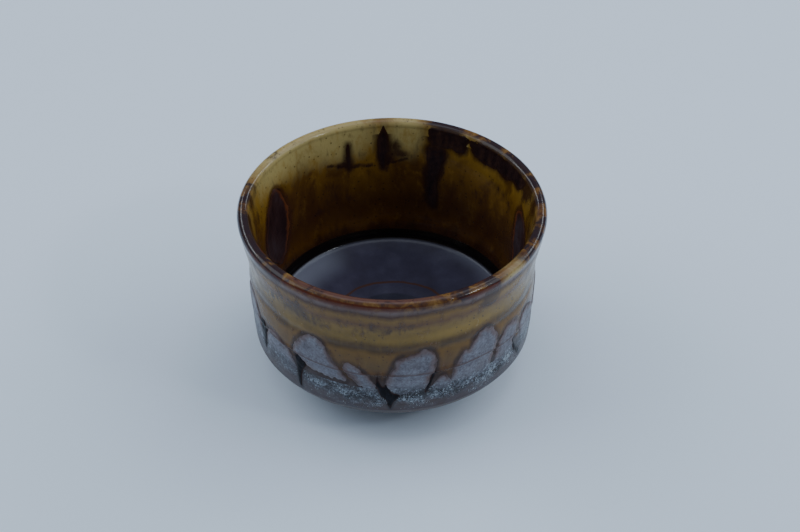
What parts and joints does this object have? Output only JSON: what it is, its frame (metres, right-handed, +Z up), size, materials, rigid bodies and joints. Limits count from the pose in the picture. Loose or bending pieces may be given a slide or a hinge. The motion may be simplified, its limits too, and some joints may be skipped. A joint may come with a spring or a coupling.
{
  "type": "matcha bowl",
  "caption": "Round, steep-sided tea bowl with a rolled lip, a low foot ring and a dark inside floor, glazed in amber with lilac petals.",
  "frame": {"origin": "on the table under the middle of the bowl", "axes": "+Z up along the bowl's axis; the bowl's front, with the tallest petals, faces -Y"},
  "size_m": [0.1196, 0.1196, 0.075],
  "materials": {
    "stoneware": "unglazed, fine-grained, matt",
    "rim_amber": "glossy amber glaze mottled with iron",
    "outer_amber": "glossy amber to brown glaze",
    "hip_purple": "satin purple-brown glaze with a blue-white speckle",
    "inner_amber": "glossy khaki to amber glaze, darker with depth",
    "floor_dark": "glossy near-black glaze",
    "petal_lilac": "satin lilac-grey overglaze with a rust edge",
    "run_dark": "glossy blue-black runs",
    "leaf_blue": "satin blue-black overglaze with a rust edge",
    "iron_brown": "glossy dark red-brown iron glaze"
  },
  "bodies": {
    "root": {"clay_body": "stoneware", "foot_ring": "stoneware", "rim_glaze": "rim_amber", "upper_glaze": "outer_amber", "hip_glaze": "hip_purple", "inner_wall_glaze": "inner_amber", "floor_glaze": "floor_dark", "pool_glaze": "floor_dark", "petal_01": "petal_lilac", "petal_02": "petal_lilac", "petal_03": "petal_lilac", "petal_04": "petal_lilac", "petal_05": "petal_lilac", "petal_06": "petal_lilac", "petal_07": "petal_lilac", "petal_08": "petal_lilac", "petal_09": "petal_lilac", "petal_10": "petal_lilac", "petal_11": "petal_lilac", "petal_12": "petal_lilac", "petal_13": "petal_lilac", "petal_14": "petal_lilac", "petal_15": "petal_lilac", "petal_16": "petal_lilac", "petal_17": "petal_lilac", "petal_18": "petal_lilac", "petal_19": "petal_lilac", "petal_20": "petal_lilac", "run_01": "run_dark", "run_02": "run_dark", "run_03": "run_dark", "run_04": "run_dark", "run_05": "run_dark", "run_06": "run_dark", "run_07": "run_dark", "run_08": "run_dark", "run_09": "run_dark", "leaf_left": "leaf_blue", "leaf_right": "leaf_blue", "leaf_front": "leaf_blue", "iron_streak_back": "iron_brown", "iron_streak_thin": "iron_brown", "iron_streak_wide": "iron_brown", "iron_patch_back": "iron_brown", "iron_patch_right": "iron_brown"}
  },
  "joints": []
}
